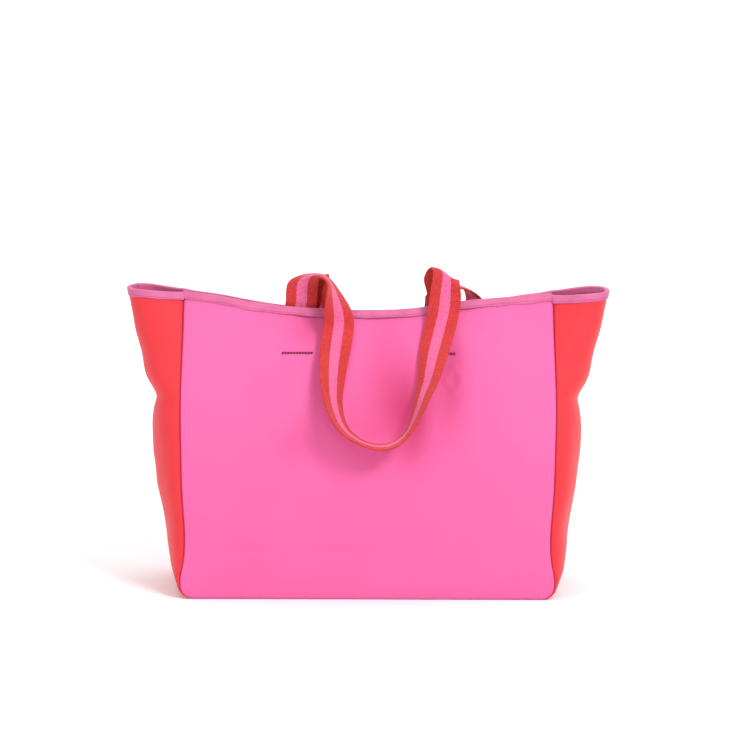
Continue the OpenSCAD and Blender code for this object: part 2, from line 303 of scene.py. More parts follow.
def neoprene(name, color, dark, painted_shade_color, tint):
    """Knitted jersey face on foam rubber: tiny V stitches, soft creases, uneven nap, and painted shade
    mixed in from a mesh value.
    """
    m = Nodes(name)
    u, v = m.uv()
    wale = m.math("ABSOLUTE", m.math("SUBTRACT", m.math("FRACT", m.math("DIVIDE", u, 0.0011)), 0.5))
    course = m.math("ADD", m.math("DIVIDE", v, 0.0009), wale)
    stitch = m.math("ADD", m.math("SINE", m.math("MULTIPLY", course, 6.2832)),
                    m.math("MULTIPLY", wale, -2.4))
    soft = m.noise(26, 3, 0.55)
    fine = m.noise(900, 2)
    nap = m.math("ADD", m.math("MULTIPLY", m.noise(9, 2), 0.7), m.math("MULTIPLY", fine, 0.3))
    normal = m.bump(stitch, 0.00006, 0.7, m.bump(soft, 0.0016, 0.35))
    # Painted shade: the mesh value darkens the face towards the shade colour in the dents.
    painted_shade = m.tree.nodes.new("ShaderNodeAttribute")
    painted_shade.attribute_name = "painted_shade"
    face = m.mix(painted_shade.outputs["Fac"], m.mix(m.span(nap, 0.3, 0.7), dark, color), painted_shade_color)
    return m.finish(face, m.span(fine, -1.6, 2.1), normal, 0.16, tint, 0.25)


def webbing(name, color, dark):
    """Ribbed narrow weaving: columns of warp floats that step from one to the next."""
    m = Nodes(name)
    u, v = m.uv()
    col = m.math("DIVIDE", u, 0.00118)
    step = m.math("MULTIPLY", m.math("FLOOR", col), 0.5)
    row = m.math("ADD", m.math("DIVIDE", v, 0.0026), step)
    over = m.math("SINE", m.math("MULTIPLY", row, 6.2832))
    valley = m.math("ABSOLUTE", m.math("SINE", m.math("MULTIPLY", col, 3.14159)))
    rib = m.math("SINE", m.math("DIVIDE", v, 0.00041))
    height = m.math("ADD", m.math("MULTIPLY", over, 0.35),
                    m.math("ADD", m.math("MULTIPLY", valley, 0.9), m.math("MULTIPLY", rib, 0.3)))
    fuzz = m.noise(1400, 2)
    yarn = m.math("ADD", m.math("MULTIPLY", m.noise(45, 3), 0.30),
                  m.math("MULTIPLY", m.span(m.noise(480, 2), 0.3, 0.7), 0.45))
    # Painted shade: the weave valleys are coloured darker from the height, on top of random yarn tone.
    shade = m.math("ADD", m.math("MULTIPLY", m.span(height, -0.4, 1.2), 0.40), yarn)
    normal = m.bump(height, 0.00022, 0.9, m.bump(fuzz, 0.0001, 0.4))
    return m.finish(m.mix(m.span(shade, 0.15, 0.95), dark, color), 0.78, normal, 0.2,
                    (1, 0.8, 0.8, 1), 0.2)


def woven(name, color, dark, pitch, rough=0.72):
    """Plain woven tape or cloth, thread over thread."""
    m = Nodes(name)
    u, v = m.uv()
    wu = m.math("SINE", m.math("MULTIPLY", u, 3.14159 / pitch))
    wv = m.math("SINE", m.math("MULTIPLY", v, 3.14159 / pitch))
    height = m.math("MULTIPLY", wu, wv)
    soft = m.noise(60, 3)
    normal = m.bump(height, pitch * 0.25, 0.6, m.bump(soft, 0.0012, 0.4))
    return m.finish(m.mix(m.span(soft, 0.3, 0.7), dark, color), rough, normal, 0.25,
                    (1, 0.85, 0.92, 1), 0.25)


def thread(name, color, dark):
    """Twisted polyester thread, the twist as slanted ridges."""
    m = Nodes(name)
    u, v = m.uv()
    twist = m.math("SINE", m.math("ADD", m.math("MULTIPLY", u, 12.566), m.math("DIVIDE", v, 0.00011)))
    # Painted shade: the grooves of the twist are coloured darker, along the same ridges as the bump.
    return m.finish(m.mix(m.span(twist, -1.0, 1.0), dark, color), 0.5, m.bump(twist, 0.00008, 0.8),
                    0.1, (1, 1, 1, 1), 0.4)


def board_sheet(name):
    """Black fibre board with a fine grain."""
    m = Nodes(name)
    grain = m.noise(500, 4, 0.6)
    return m.finish(m.mix(grain, (0.012, 0.012, 0.014, 1), (0.03, 0.03, 0.034, 1)), 0.62,
                    m.bump(grain, 0.0001, 0.5), 0.0, (1, 1, 1, 1), 0.35)


# The third colour of each neoprene is its painted shade colour, used where the mesh asks for shade.
PINK = neoprene("pink_neoprene", (0.77, 0.120, 0.335, 1), (0.75, 0.106, 0.312, 1), (0.47, 0.016, 0.095, 1),
                (0.9, 0.75, 1.0, 1))
RED = neoprene("red_neoprene", (0.74, 0.032, 0.044, 1), (0.71, 0.027, 0.038, 1), (0.40, 0.012, 0.020, 1),
               (1.0, 0.7, 0.7, 1))
BINDING = woven("binding_tape", (0.62, 0.140, 0.300, 1), (0.54, 0.105, 0.245, 1), 0.0007)
INNER_TAPE = woven("inner_tape", (0.52, 0.125, 0.26, 1), (0.47, 0.105, 0.22, 1), 0.0007)
LINING = woven("lining_cloth", (0.55, 0.13, 0.26, 1), (0.50, 0.11, 0.22, 1), 0.0009)
WEB_RED = webbing("webbing_red", (0.64, 0.044, 0.042, 1), (0.36, 0.018, 0.020, 1))
WEB_PINK = webbing("webbing_pink", (0.80, 0.150, 0.330, 1), (0.56, 0.075, 0.190, 1))
THREAD = thread("thread_pink", (0.40, 0.060, 0.165, 1), (0.27, 0.038, 0.11, 1))
BAR_THREAD = thread("thread_magenta", (0.26, 0.012, 0.065, 1), (0.15, 0.006, 0.035, 1))
# Seam thread colour darkened so that it also stands for painted shade in the seam groove.
SEAM_THREAD_AND_SHADE = thread("thread_crimson_and_seam_shade", (0.56, 0.014, 0.055, 1), (0.38, 0.010, 0.038, 1))
BOARD = board_sheet("board_sheet")


# ---------------------------------------------------------------- skins
def relief(x, z):
    """Soft dents and creases of the front panel, outward in metres."""
    d = -0.0100 * bump(x, 0.036, np.where(x < 0.036, 0.045, 0.022)) * bump(z, 0.224, 0.048)
    d += -0.0050 * bump(x, 0.096, 0.020) * bump(z, 0.262, 0.050)
    d += -0.0040 * bump(x, -0.074, np.where(x < -0.074, 0.018, 0.030)) * bump(z, 0.316, 0.026)
    d += -0.0034 * bump(x, 0.016, 0.034) * bump(z, 0.296, 0.045)
    d += -0.0028 * bump(x, 0.120, 0.016) * bump(z, 0.325, 0.024)
    pull = smooth((0.021 - np.abs(np.abs(x) - ANCHOR_X)) / 0.003)
    d += -0.0006 * pull * bump(z, ANCHOR_Z - 0.0025, 0.0035)
    s = (x + 0.063) * 0.8 + (z - 0.175) * 0.6
    t = -(x + 0.063) * 0.6 + (z - 0.175) * 0.8
    d += -0.0036 * bump(s, 0, 0.014) * bump(t, 0, 0.050)
    d += 0.0024 * bump(s, 0.032, 0.018) * bump(t, 0, 0.05)
    d += -0.0011 * bump(z, 0.059 + 0.02 * (x + 0.03), 0.0035) * bump(x, -0.030, 0.036)
    d += -0.0010 * bump(z, 0.060 - 0.03 * (x + 0.14), 0.003) * bump(x, -0.140, 0.024)
    d += 0.0012 * bump(np.abs(x - 0.101) / 0.011 + np.abs(z - 0.259) / 0.014, 1.0, 0.35)
    d += -0.0022 * bump(z, 0.045, 0.03) * bump(x, 0.02, 0.16)
    return d


def painted_shade_amount(x, z):
    """Painted shade in the dents and where the straps shade the panel, 0 to 1: how far the colour is
    darkened there. Its places and strengths are given here, not worked out from light.
    """
    f = 0.60 * bump(x, 0.048, np.where(x < 0.048, 0.028, 0.020)) * bump(z, 0.222, 0.048)
    f += 0.34 * bump(x, 0.018, 0.034) * bump(z, 0.255, 0.075)
    f += 0.36 * bump(x, 0.096, 0.019) * bump(z, 0.255, 0.055)
    f += 0.34 * bump(x, -0.072, 0.026) * bump(z, 0.322, 0.024)
    f += 0.26 * bump(x, -0.082, 0.030) * bump(z, 0.190, 0.026)
    return np.clip(f, 0, 1)


def build_skin(name, start, width, material, seed, wobble, dents=None):
    d_side = edge_steps(width, 0.0032)
    gap = 0.0003
    a = start + (gap + d_side * (width - 2 * gap) / width) / width
    z = edge_steps(BODY_H, 0.0032)
    z = z[z < BODY_H - 0.0001]
    v = np.concatenate([z, [BODY_H]]) / BODY_H
    A, V = np.meshgrid(a, v)
    mid = ring(A, V)
    n = grid_normals(mid)
    side = np.minimum(d_side, width - d_side)[None, :] + 0 * V
    low = V * BODY_H
    edge = np.minimum(side, low)
    half = rounded(edge, 0.0022, SKIN_T / 2)
    extra = -0.0016 * np.exp(-side / 0.0030) - 0.0014 * np.exp(-low / 0.003)
    calm = smooth(side / 0.05) * smooth(low / 0.05) * (1 - 0.75 * smooth((V - 0.82) / 0.14))
    extra = extra + wobble * waves(mid, seed, 0.16) * calm
    extra = extra + 0.35 * wobble * waves(mid, seed + 1, 0.05) * calm
    if dents is not None:
        extra = extra + dents(mid[..., 0], mid[..., 2]) * smooth(side / 0.03)
    uv = np.stack([(A - start) * width, V * BODY_H], -1)
    # Painted shade on the front panel only; the other skins get none.
    painted_shade = painted_shade_amount(mid[..., 0], mid[..., 2]) if dents is relief else 0 * extra
    return slab(name, mid, n, half, extra, uv, material, painted_shade), (mid, n, extra)


def gusset_folds(_, z):
    """Each gusset folds in at its waist and fans out above it."""
    d = -0.0022 * bump(z, 0.235, 0.012)
    d += 0.0014 * bump(z, 0.262, 0.016)
    return d


front, FRONT = build_skin("front_panel_skin", 0, PANEL_W, PINK, 3, 0.0011, relief)
back, _ = build_skin("back_panel_skin", 2, PANEL_W, PINK, 11, 0.0016)
right, _ = build_skin("right_gusset_skin", 1, GUSSET_W, RED, 21, 0.0014, gusset_folds)
left, _ = build_skin("left_gusset_skin", 3, GUSSET_W, RED, 31, 0.0014, gusset_folds)


def skin_y(x, z):
    """Y of the outside of the front skin at a place on it, from the nearest points of its grid."""
    mid, n, extra = FRONT
    p = (mid + n * (SKIN_T / 2 + extra)[..., None]).reshape(-1, 3)
    d2 = (p[:, 0] - x) ** 2 + (p[:, 2] - z) ** 2
    k = np.argpartition(d2, 4)[:4]
    w = 1 / (d2[k] + 1e-9)
    return float((p[k, 1] * w).sum() / w.sum())


# ---------------------------------------------------------------- rim binding and its stitching
RIM_N = 760
rim_a = np.arange(RIM_N) * 4 / RIM_N
V_LOW = 1 - (BINDING_H - BINDING_T) / BODY_H


def binding_section(far, thick, low, count=7):
    """[offset, height fraction, lift] round a U of tape, outside first, then its inside."""
    leg = np.linspace(0, 1, count)
    arc = np.linspace(0, np.pi, 9)
    near = far - thick
    out = [(far - thick * 0.5, low, 0.0)]
    out += [(far, low + (1 - low) * (0.04 + 0.96 * k), 0.0) for k in leg]
    out += [(far * math.cos(t), 1.0, far * 0.62 * math.sin(t)) for t in arc[1:-1]]
    out += [(-far, low + (1 - low) * (0.04 + 0.96 * k), 0.0) for k in leg[::-1]]
    out += [(-far + thick * 0.5, low, 0.0)]
    out += [(-near, low + (1 - low) * (0.04 + 0.94 * k), 0.0) for k in leg]
    out += [(near * math.cos(t), 1.0, near * 0.45 * math.sin(t)) for t in arc[::-1][1:-1]]
    out += [(near, low + (1 - low) * (0.04 + 0.94 * k), 0.0) for k in leg[::-1]]
    return out


def band(name, a, section, material, closed, wavy=0.0, seed=5):
    a = np.asarray(a)
    base = ring(a, 1.0)
    pull = wavy * waves(base, seed, 0.035)
    cols = []
    for off, vf, lift in section:
        low = np.clip((1 - vf) / (1 - V_LOW), 0, 1)
        va = vf + pull * low / BODY_H
        sign = 1 if off > 0 else -1
        p = ring(a, va) + outward(a, va) * (off + sign * np.abs(pull)[..., None] * 0.4 * low)
        p[..., 2] += lift
        cols.append(p)
    P = np.stack(cols, 1)
    rows, n = P.shape[:2]
    if closed:
        P = np.concatenate([P, P[:1]])
        rows += 1
    seg = np.linalg.norm(np.diff(P[:, 0], axis=0), axis=1)
    along = np.concatenate([[0], np.cumsum(seg)])
    prof = np.concatenate([[0], np.cumsum(np.linalg.norm(np.diff(P, axis=1), axis=2).mean(0))])
    uv = np.stack(np.broadcast_arrays(along[:, None], prof[None, :]), -1)
    faces = grid_faces(rows, n, closed=True)
    verts = P.reshape(-1, 3)
    if closed:
        faces = faces % ((rows - 1) * n)
        verts, uv = verts[:-n], uv[:-1]
    else:
        first, last = np.arange(n), (rows - 1) * n + np.arange(n)
        half = n // 2
        caps = [[e[k], e[k + 1], e[n - 2 - k], e[n - 1 - k]] for e in (first, last[::-1])
                for k in range(half - 1)]
        faces = np.concatenate([faces, np.array(caps)])
    return make_mesh(name, verts, faces, uv.reshape(-1, 2), slots=[material])


FAR = SKIN_T / 2 + 0.00035 + BINDING_T
binding = band("rim_binding_tape", rim_a, binding_section(FAR, BINDING_T, V_LOW), BINDING, True, 0.0004)
binding_join = band("rim_binding_join", np.linspace(3.20, 3.36, 26),
                    binding_section(FAR + 0.0008, 0.0007, V_LOW - 0.0006), BINDING, False, 0.0003, 9)


def capsules(name, points, direction, up, length, radius, material):
    """One mesh of short sewn threads: points (n, 3), each along its direction."""
    k, m = 7, 8
    t = np.linspace(0, np.pi, k)
    w = np.linspace(0, 2 * np.pi, m, endpoint=False)
    side = np.cross(direction, up)
    side /= np.linalg.norm(side, axis=1, keepdims=True)
    up = np.cross(side, direction)
    verts, faces, uvs = [], [], []
    base = grid_faces(k, m, closed=True)
    for i, p in enumerate(points):
        c = p + direction[i] * (-np.cos(t) * length / 2)[:, None]
        sag = -(np.cos(t) ** 2) * radius * 1.1
        r = radius * np.maximum(np.sin(t), 0.25) ** 0.6
        ringp = (c[:, None] + up[i] * (sag[:, None, None] + (r[:, None] * np.sin(w))[..., None])
                 + side[i] * (r[:, None] * np.cos(w))[..., None])
        verts.append(ringp.reshape(-1, 3))
        faces.append(base + i * k * m)
        caps = np.array([[0, 1, 2, 3], [0, 3, 4, 5], [0, 5, 6, 7]])
        faces.append(caps[:, ::-1] + i * k * m)
        faces.append(caps + i * k * m + (k - 1) * m)
        uvs.append(np.stack(np.broadcast_arrays((w / 6.2832)[None], (np.cos(t) * length / 2)[:, None]),
                            -1).reshape(-1, 2))
    return make_mesh(name, np.concatenate(verts), np.concatenate(faces), np.concatenate(uvs),
                     slots=[material])


def rim_stitches(name, sign):
    """A row of thread round the rim, near the lower edge of the binding."""
    dense = np.linspace(0, 4, 4001)
    vf = V_LOW + 0.0024 / BODY_H
    path = ring(dense, vf) + outward(dense, vf) * sign * (FAR + 0.0002)
    s = np.concatenate([[0], np.cumsum(np.linalg.norm(np.diff(path, axis=0), axis=1))])
    count = int(s[-1] / 0.0034)
    at = (np.arange(count) + 0.5) * s[-1] / count
    p = np.stack([np.interp(at, s, path[:, k]) for k in range(3)], 1)
    q = np.stack([np.interp(at + 0.001, s, path[:, k]) for k in range(3)], 1)
    d = (q - p) / np.linalg.norm(q - p, axis=1, keepdims=True)
    n = outward(np.interp(at, s, dense), vf) * sign
    return capsules(name, p, d, n, 0.0027, 0.00033, THREAD)


def seam_thread_and_shade(name, seam):
    """Thread sunk in the groove where a panel meets a gusset, coloured darker than the neoprene: partly
    thread, partly painted shade of the groove.
    """
    z = np.arange(0.010, RIM_H - 0.012, 0.0034)
    v = z / RIM_H
    p = (ring(seam - 1e-4, v) + ring(seam + 1e-4, v)) / 2 + outward(seam, v) * 0.0001
    d = np.gradient(p, axis=0)
    d /= np.linalg.norm(d, axis=1, keepdims=True)
    return capsules(name, p, d, outward(seam, v), 0.0033, 0.0006, SEAM_THREAD_AND_SHADE)


seam_threads_and_shade = [seam_thread_and_shade(name, seam) for name, seam in (
    ("front_left_seam_thread_and_shade", 4.0), ("front_right_seam_thread_and_shade", 1.0),
    ("back_right_seam_thread_and_shade", 2.0), ("back_left_seam_thread_and_shade", 3.0))]
rim_out = rim_stitches("rim_stitches_outside", 1)
rim_in = rim_stitches("rim_stitches_inside", -1)


# ---------------------------------------------------------------- tapes and base inside the bag
def tape_patch(name, a0, a1, v0, v1, rows, material):
    """A strip of tape on the inside of the skin."""
    a = np.linspace(a0, a1, 15)
    v = np.linspace(v0, v1, rows)
    A, V = np.meshgrid(a, v)
    mid = ring(A, V)
    n = grid_normals(mid)
    half = np.full(A.shape, 0.0004)
    half[:, [0, -1]] = 0.0001
    extra = np.full(A.shape, -SKIN_T / 2 - 0.0011)
    uv = np.stack([(A - a0) * 0.3, V * BODY_H], -1)
    return slab(name, mid, n, half, extra, uv, material)


seam_tapes = {}
for node, seam in (("front_left_seam_tape", 4.0), ("front_right_seam_tape", 1.0),
                   ("back_right_seam_tape", 2.0), ("back_left_seam_tape", 3.0)):
    wide = (0.009 / PANEL_W, 0.009 / BASE_D)
    before, after = wide if seam in (1.0, 3.0) else wide[::-1]
    seam_tapes[node] = tape_patch(node + "_strip", seam - before, seam + after, 0.08, 0.976, 94,
                                  INNER_TAPE)


def base_tape():
    v = np.linspace(0.045, 0.075, 7)
    a = np.arange(480) * 4 / 480
    A, V = np.meshgrid(a, v)
    mid = ring(A, V)
    n = outward(A, V)
    section = [mid[i] - n[i] * (SKIN_T / 2 + 0.0006) for i in range(7)]
    section += [mid[i] - n[i] * (SKIN_T / 2 + 0.0014) for i in range(6, -1, -1)]
    P = np.stack(section, 1)
    faces = grid_faces(481, 14, closed=True) % (480 * 14)
    uv = np.stack(np.broadcast_arrays((a * 0.3)[:, None], (np.arange(14) * 0.0018)[None]), -1)
    return make_mesh("base_seam_tape_strip", P.reshape(-1, 3), faces, uv.reshape(-1, 2),
                     slots=[INNER_TAPE])


base_tape_piece = base_tape()


def plate(name, node, radius, puff, material, edge):
    """A rounded slab in the place of a flat CAD node, with soft edges and a slight puff."""
    low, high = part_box(node)
    hx, hy = (high.x - low.x) / 2, (high.y - low.y) / 2
    z0, z1 = low.z, high.z
    th = (z1 - z0) / 2
    corner = np.concatenate([np.linspace(0, np.pi / 2, 9) + q * np.pi / 2 for q in range(4)])
    centre = np.array([(1, 1), (-1, 1), (-1, -1), (1, -1)]).repeat(9, 0)
    outline = np.stack([np.cos(corner), np.sin(corner)], 1)
    ang = np.linspace(np.pi / 2, -np.pi / 2, 9)
    verts = []
    scales = [0.02, 0.15, 0.35, 0.6, 0.8, 0.93]

    def loop_at(inset, z, grow):
        r = max(radius - inset, 0.0004)
        c = centre * (np.array([hx, hy]) - radius)
        p = (c + outline * r) * grow
        return np.concatenate([p, np.full((len(p), 1), z)], 1)

    for s in scales:
        verts.append(loop_at(edge, z1 + puff * (1 - s ** 2), s))
    for t in ang:
        verts.append(loop_at(edge * (1 - math.cos(t)), (z0 + z1) / 2 + th * math.sin(t), 1.0))
    for s in scales[::-1]:
        verts.append(loop_at(edge, z0, s))
    P = np.stack(verts, 0)
    rows, cols = P.shape[:2]
    faces = [grid_faces(rows, cols, closed=True)[:, ::-1]]
    for row, flip in ((0, 1), (rows - 1, -1)):
        idx = row * cols + np.arange(cols)
        faces.append(np.array([[idx[k], idx[k + 1], idx[cols - 2 - k], idx[cols - 1 - k]][::flip]
                               for k in range(cols // 2 - 1)]))
    return make_mesh(name, P.reshape(-1, 3), np.concatenate(faces), P.reshape(-1, 3)[:, :2],
                     slots=[material])


base_piece = plate("base_panel_skin", "base_panel", 0.005, 0.0, RED, 0.0014)
board_piece = plate("base_board_sheet", "base_board", 0.005, 0.0, BOARD, 0.0007)
lining_piece = plate("base_lining_cloth", "base_lining", 0.005, 0.0006, LINING, 0.0005)


# ---------------------------------------------------------------- handles
def spline(points, steps):
    p = np.asarray(points, float)
    out = []
    for i in range(len(p) - 1):
        a, b, c, d = p[max(i - 1, 0)], p[i], p[i + 1], p[min(i + 2, len(p) - 1)]
        for j in range(steps):
            t = j / steps
            out.append(0.5 * (2 * b + (c - a) * t + (2 * a - 5 * b + 4 * c - d) * t ** 2
                              + (3 * b - a - 3 * c + d) * t ** 3))
    out.append(p[-1])
    return np.array(out)


def front_y(x, z):
    """Y of the outside of the front panel, without its dents."""
    v = np.minimum(1, z / rim_z(2 * x / PANEL_W))
    return -(half_depth(v) + SKIN_T / 2)


def inside_y(x, z):
    """Y for webbing that lies inside the front panel, clear of the dents."""
    clear = LEG_CLEAR + (RIM_CLEAR - LEG_CLEAR) * smooth((z - ANCHOR_Z - 0.024) / 0.02)
    return front_y(x, z) + SKIN_T + STRAP_T / 2 + clear + np.maximum(0, -relief(x, z)) * 1.1


def hang(x, z, turn):
    """A station, in mm and degrees, where the webbing hangs just clear of the front panel."""
    x, z = x / 1000, z / 1000
    wide = STRAP_W * abs(math.sin(math.radians(turn)))
    return [x, float(front_y(x, z)) - DRAPE_GAP - (STRAP_T + wide) / 2, z, turn]


def at(x, y, z, turn):
    """A station in mm and degrees."""
    return [x / 1000, y / 1000, z / 1000, turn]


def inner_leg(side, top_x, top_z):
    """The sewn leg, up the inside of the panel from its stitches."""
    ax = side * ANCHOR_X
    pts = spline([[ax, ANCHOR_Z - 0.010], [ax, ANCHOR_Z + 0.008], [ax, ANCHOR_Z + 0.022],
                  [ax + (top_x - ax) * 0.3, ANCHOR_Z + 0.040], [top_x, top_z]], 4)[:-1]
    return [[p[0], float(inside_y(p[0], p[1])), p[1], 0.0] for p in pts]


def leg_cross(side, cross, hinge_z, droop=0.0, early=0.0):
    """The crossing leg. droop lowers its crown where a handle sags, early turns it edge-on sooner."""
    c0, c1 = cross
    return inner_leg(side, c0, BODY_H - 0.020) + [
        [c0, LEG_Y, BODY_H - 0.020, 0], [c0, LEG_Y, BODY_H - 0.012, -1],
        [c0 + 0.0005, -0.0062, hinge_z - 0.017, -5], [c0 + 0.0020, -0.0075, hinge_z - 0.0095, -20],
        [c0 + (c1 - c0) * (0.30 - 0.1 * early), -0.0105, hinge_z - 0.0040 - 0.4 * droop, -47 - 14 * early],
        [c0 + (c1 - c0) * (0.60 - 0.1 * early), -0.0138, hinge_z - 0.0008 - 0.7 * droop, -72 - 12 * early],
        [c1, BEND_Y, hinge_z - droop, -90]]


def leg_over(side, shoulder):
    """The leg below the bend that turns over."""
    ax = side * ANCHOR_X
    x, z = shoulder
    return inner_leg(side, ax + (x - ax) * 0.7, BODY_H - 0.016) + [
        [ax + (x - ax) * 0.7, LEG_Y, BODY_H - 0.016, 0], [ax + (x - ax) * 0.96, LEG_Y, BODY_H - 0.005, 0],
        [x, LEG_Y, z - 0.006, 0]]


def over_bend(shoulder):
    """The half round over the rim."""
    x, z = shoulder
    return [[x, BEND_Y + BEND_R * math.cos(t), z + BEND_R * math.sin(t), 0.0]
            for t in np.linspace(0, np.pi, 13)]


FRONT_HINGE_Z, BACK_HINGE_Z, SHOULDER_Z = 0.380, 0.368, 0.349
FRONT_OVER, BACK_OVER = (0.091, 0.379), (-0.066, 0.367)
FRONT_CROSS, BACK_CROSS = (-0.080, -0.059), (0.087, 0.108)
front_drape = [at(-51.5, -15.8, 377.5, -92), at(-46, -17.5, 371, -97), at(-42.8, -20.5, 361, -110),
               at(-39.5, -25.5, 349.5, -128), at(-36.5, -29.5, 336, -150), hang(-35.7, 321, -164),
               hang(-38, 303, -168), hang(-41, 282, -156), hang(-42.5, 258, -139), hang(-41, 234, -121),
               hang(-31, 209, -106), hang(-13, 194, -95), hang(8, 187, -90), hang(27, 189, -88),
               hang(41, 198, -86), hang(50, 211, -83), hang(57.5, 229, -74), hang(63.5, 246, -64),
               hang(69.5, 262, -52), hang(76, 288, -29), hang(82, 309, -12), at(88, -26, 332, 0),
               at(90.5, -24.8, 351, 0), at(91, -24.8, 371, 0)]
back_drape = [at(-66, -24.8, 359, 0), at(-64, -25.5, 346, 0), at(-61, -28, 330, 3), hang(-58, 314, 8),
              hang(-55, 297, 16), hang(-51, 278, 28), hang(-46, 258, 42), hang(-39, 236, 58),
              hang(-25, 211, 74), hang(-2, 188, 86), hang(26, 179, 90), hang(54, 187, 94),
              hang(78, 208, 104), hang(97, 232, 118), hang(110, 256, 136), hang(120, 282, 160),
              hang(128, 304, 190), at(133, -38.5, 322, 210), at(132.5, -37.5, 335, 226),
              at(130, -34, 345, 238), at(126, -29.5, 352.5, 248), at(121, -25.2, 358, 256),
              at(115, -20, 362.4, 263)]


class Strap:
    """Webbing swept along [x, y, z, turn about Z] stations. Its pieces are cut from one smooth grid."""

    def __init__(self, stations, flip, over, crossing):
        s = spline(stations, 8)
        s[:, 3] = np.radians(s[:, 3])
        c = s[:, :3]
        length = np.concatenate([[0], np.cumsum(np.linalg.norm(np.diff(c, axis=0), axis=1))])
        keep = np.arange(0, length[-1], 0.0022)
        s = np.stack([np.interp(keep, length, s[:, k]) for k in range(4)], 1)
        for _ in range(3):
            s[1:-1] = s[1:-1] * 0.5 + (s[:-2] + s[2:]) * 0.25
        self.c, self.s = s[:, :3], keep
        w = np.stack([np.cos(s[:, 3]), np.sin(s[:, 3]), np.zeros(len(s))], 1)
        along = np.gradient(self.c, axis=0)
        along /= np.linalg.norm(along, axis=1, keepdims=True)
        n = np.cross(along, w)
        n /= np.linalg.norm(n, axis=1, keepdims=True)
        h, t = STRAP_W / 2, STRAP_T / 2
        e = np.array([0, 0.0003, 0.0007, 0.0012, 0.002])
        thirds = np.linspace(-h + e[-1], h - e[-1], 31)
        thirds[np.argmin(abs(thirds + h / 3))] = -h / 3
        thirds[np.argmin(abs(thirds - h / 3))] = h / 3
        x = np.concatenate([-h + e[:-1], thirds, (h - e[:-1])[::-1]])
        thick = t * np.sqrt(np.clip(1 - np.clip((abs(x) - h + 0.0012) / 0.0012, 0, 1) ** 2, 0.04, 1))
        side = np.concatenate([x, x[::-1]])
        face = np.concatenate([thick, -thick[::-1]])
        cup = 0.0005 * (np.abs(side) / h) ** 2 * np.sin(keep / 0.055)[:, None]
        self.P = (self.c[:, None] + w[:, None] * side[None, :, None]
                  + n[:, None] * (face[None] + cup)[..., None])
        self.fold_over(over)
        self.soften(crossing)
        self.N = grid_normals(self.P, closed=True)
        self.turned = bool(np.median(np.sum(self.N[:, 20] * n, 1)) < 0)
        if self.turned:
            self.N = -self.N
        self.side = side
        if flip:
            self.P[..., 1] *= -1
            self.N[..., 1] *= -1
            self.turned = not self.turned

    def fold_over(self, over):
        """Skew the bend where the handle turns over, so that its outer corner hangs lower."""
        h, rise = STRAP_W / 2, -1 if over[0] > 0 else 1
        keep = self.s
        top = int(np.argmin(np.abs(self.c[:, 0] - over[0]) + np.abs(self.c[:, 1] - BEND_Y)
                            + np.abs(self.c[:, 2] - over[1] - BEND_R)))
        near = bump(keep, keep[top], 0.026)[:, None]
        slope = smooth((h - rise * (self.P[..., 0] - over[0])) / (2 * h)) ** 1.3
        self.P[..., 2] -= 0.0150 * near * slope
        self.P[..., 0] -= 0.0065 * bump(keep, keep[top] - rise * 0.021, 0.015)[:, None]
        front_of_top = bump(keep, keep[top] + rise * 0.009, 0.018)[:, None]
        self.P[..., 0] += max(-rise, 0) * (0.0040 * (1 - slope) - 0.0020 * slope) * front_of_top

    def soften(self, crossing):
        """Round off the twist where the handle crosses the rim edge-on."""
        crown = int(np.argmin(np.linalg.norm(self.c - crossing, axis=1)))
        weight = 0.5 * bump(self.s, self.s[crown], 0.016)[1:-1, None, None]
        for _ in range(16):
            self.P[1:-1] += weight * ((self.P[:-2] + self.P[2:]) / 2 - self.P[1:-1])

    def cut(self, name, r0, r1):
        """The piece between two rows, both kept, with flat ends."""
        P, N = self.P[r0:r1 + 1], self.N[r0:r1 + 1]
        rows, cols = P.shape[:2]
        faces = grid_faces(rows, cols, closed=True)
        half = cols // 2
        u = np.abs((self.side[:-1] + self.side[1:]) / 2)
        stripe = np.append((u < STRAP_W / 6).astype(int), 0)
        index = np.tile(stripe, rows - 1)
        caps = [[b + k, b + k + 1, b + cols - 2 - k, b + cols - 1 - k]
                for b in (0, (rows - 1) * cols) for k in range(half - 1)]
        caps[half - 1:] = [c[::-1] for c in caps[half - 1:]]
        cap_index = np.tile(stripe[:half - 1], 2)
        faces = np.concatenate([faces, np.array(caps)[:, ::-1]])
        if self.turned:
            faces = faces[:, ::-1]
        uv = np.stack(np.broadcast_arrays(self.side[None], self.s[r0:r1 + 1, None]), -1)
        o = make_mesh(name, P.reshape(-1, 3), faces, uv.reshape(-1, 2),
                      np.concatenate([index, cap_index]), [WEB_RED, WEB_PINK], N.reshape(-1, 3))
        flat = (STRAP_W, float(self.s[r1] - self.s[r0]))
        return o, flat


